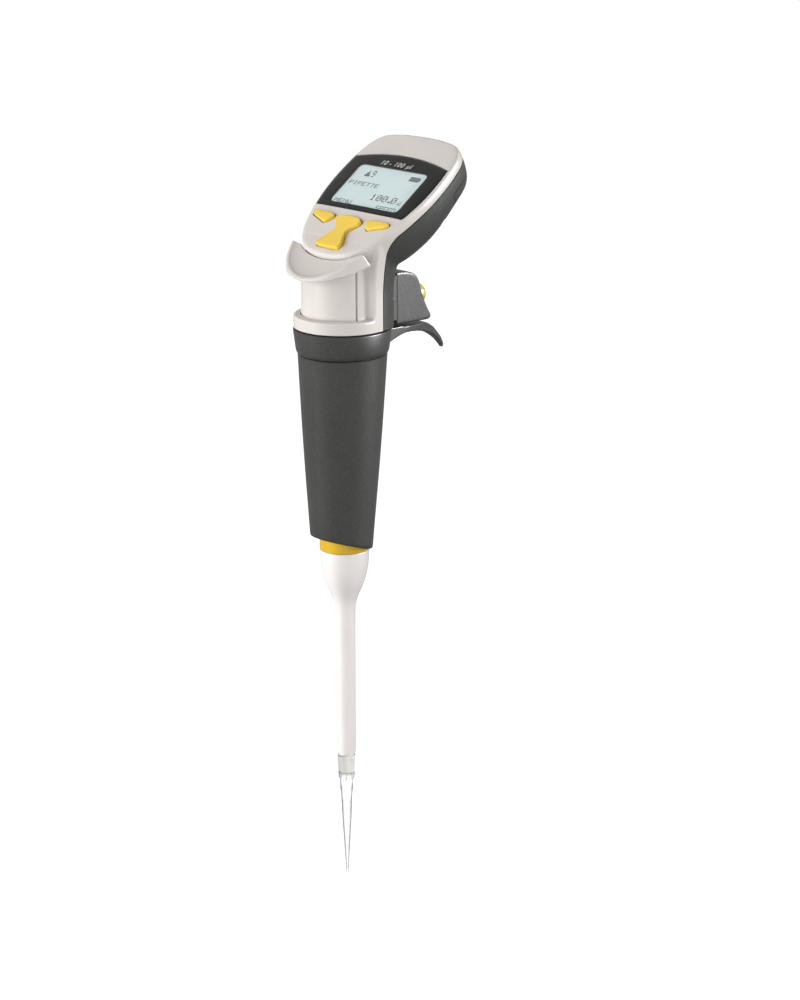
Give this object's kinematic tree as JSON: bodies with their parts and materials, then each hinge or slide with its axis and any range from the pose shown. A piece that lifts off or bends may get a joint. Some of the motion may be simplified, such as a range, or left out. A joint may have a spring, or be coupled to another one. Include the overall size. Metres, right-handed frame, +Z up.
{
  "type": "electronic micropipette",
  "caption": "Hand-held electronic pipette with a tilted display head, soft keys, swivelling finger rest, trigger, motor-driven piston and thumb-operated tip ejector.",
  "frame": {"origin": "on the pipette's axis at the underside plane of the swivel collar, where a stand's fork holds the handle", "axes": "+Z up along the axis towards the display head, -Y towards the display, keys and thumb button, +Y towards the finger rest, +X to the right seen from the front"},
  "size_m": [0.0538, 0.0728, 0.2889],
  "materials": {
    "light_shell": "satin moulded plastic",
    "dark_shell": "fine moulded grain",
    "yellow": "satin",
    "lens_black": "gloss black",
    "lens_clear": "clear acrylic",
    "lcd": "grey-green liquid crystal panel",
    "white_sleeve": "satin",
    "tip_clear": "translucent polypropylene",
    "steel": "ground",
    "brass": "machined",
    "rubber": "matte",
    "board": "solder mask",
    "cell": "wrapped foil",
    "inner_grey": "moulded"
  },
  "bodies": {
    "casing": {"front_cover": "light_shell", "rear_cover": "dark_shell", "cover_screw_1": "steel", "cover_screw_2": "steel", "cover_screw_3": "steel", "cover_screw_4": "steel", "block_screw_1": "steel", "block_screw_2": "steel", "display_bezel": "lens_black", "display_window": "lens_clear", "lcd_panel": "lcd", "keypad_mat": "rubber", "circuit_board": "board", "battery_cell": "cell", "battery_connector": "inner_grey", "trigger_housing": "dark_shell", "trigger_spring": "steel", "trigger_switch": "inner_grey", "handle_shell": "dark_shell", "friction_ring": "rubber", "drive_motor": "inner_grey", "drive_frame": "inner_grey", "tip_cone": "inner_grey", "piston_seal": "rubber", "seal_retainer": "brass", "ejector_spring": "steel"},
    "battery_door": {"battery_cover": "dark_shell"},
    "left_button": {"left_key": "yellow"},
    "right_button": {"right_key": "yellow"},
    "rocker": {"rocker_key": "yellow"},
    "trigger": {"trigger_button": "yellow"},
    "swivel_rest": {"finger_rest": "dark_shell"},
    "ejector": {"ejector_button": "light_shell", "ejector_rod": "steel", "ejector_sleeve": "white_sleeve", "volume_ring": "yellow"},
    "disposable_tip": {"pipette_tip": "tip_clear"},
    "carriage": {"lead_screw": "steel", "piston_carriage": "inner_grey", "piston": "steel"},
    "nut": {"drive_nut": "brass"}
  },
  "joints": [
    {"name": "left_key_press", "type": "slide", "parent": "casing", "child": "left_button", "axis": [0, 0.5821, -0.8131], "range_m": [0, 0.0006], "stiffness_N_per_m": 900, "springref_m": -0.0005},
    {"name": "right_key_press", "type": "slide", "parent": "casing", "child": "right_button", "axis": [0, 0.5821, -0.8131], "range_m": [0, 0.0006], "stiffness_N_per_m": 900, "springref_m": -0.0005},
    {"name": "rocker_tilt", "type": "hinge", "parent": "casing", "child": "rocker", "pos_m": [0, 0.00001, 0.04428], "axis": [1, 0, 0], "range_deg": [-2.5, 2.5], "stiffness_Nm_per_rad": 0.05},
    {"name": "trigger_press", "type": "slide", "parent": "casing", "child": "trigger", "axis": [0, -0.9659, -0.2588], "range_m": [0, 0.0015], "stiffness_N_per_m": 800, "springref_m": -0.001, "deforming": ["trigger_spring"]},
    {"name": "ejector_press", "type": "slide", "parent": "casing", "child": "ejector", "axis": [0, 0, -1], "range_m": [0, 0.006], "stiffness_N_per_m": 900, "springref_m": -0.004, "deforming": ["ejector_spring"]},
    {"name": "tip_push_off", "type": "slide", "parent": "casing", "child": "disposable_tip", "axis": [0, 0, -1], "range_m": [0, 0.006]},
    {"name": "finger_rest_swivel", "type": "hinge", "parent": "casing", "child": "swivel_rest", "pos_m": [0, 0, 0], "axis": [0, 0, 1], "range_deg": [-60, 60]},
    {"name": "battery_cover_slide", "type": "slide", "parent": "casing", "child": "battery_door", "axis": [0, 0.8131, 0.5821], "range_m": [0, 0.015]},
    {"name": "piston_travel", "type": "slide", "parent": "casing", "child": "carriage", "axis": [0, 0, -1], "range_m": [0, 0.015]},
    {"name": "nut_turn", "type": "hinge", "parent": "casing", "child": "nut", "pos_m": [0, 0, -0.019], "axis": [0, 0, 1], "range_deg": [0, 2701]}
  ],
  "couplings": [
    {"joint": "tip_push_off", "follows": "ejector_press", "ratio": 1},
    {"joint": "nut_turn", "follows": "piston_travel", "rad_per_m": 3141.6}
  ]
}
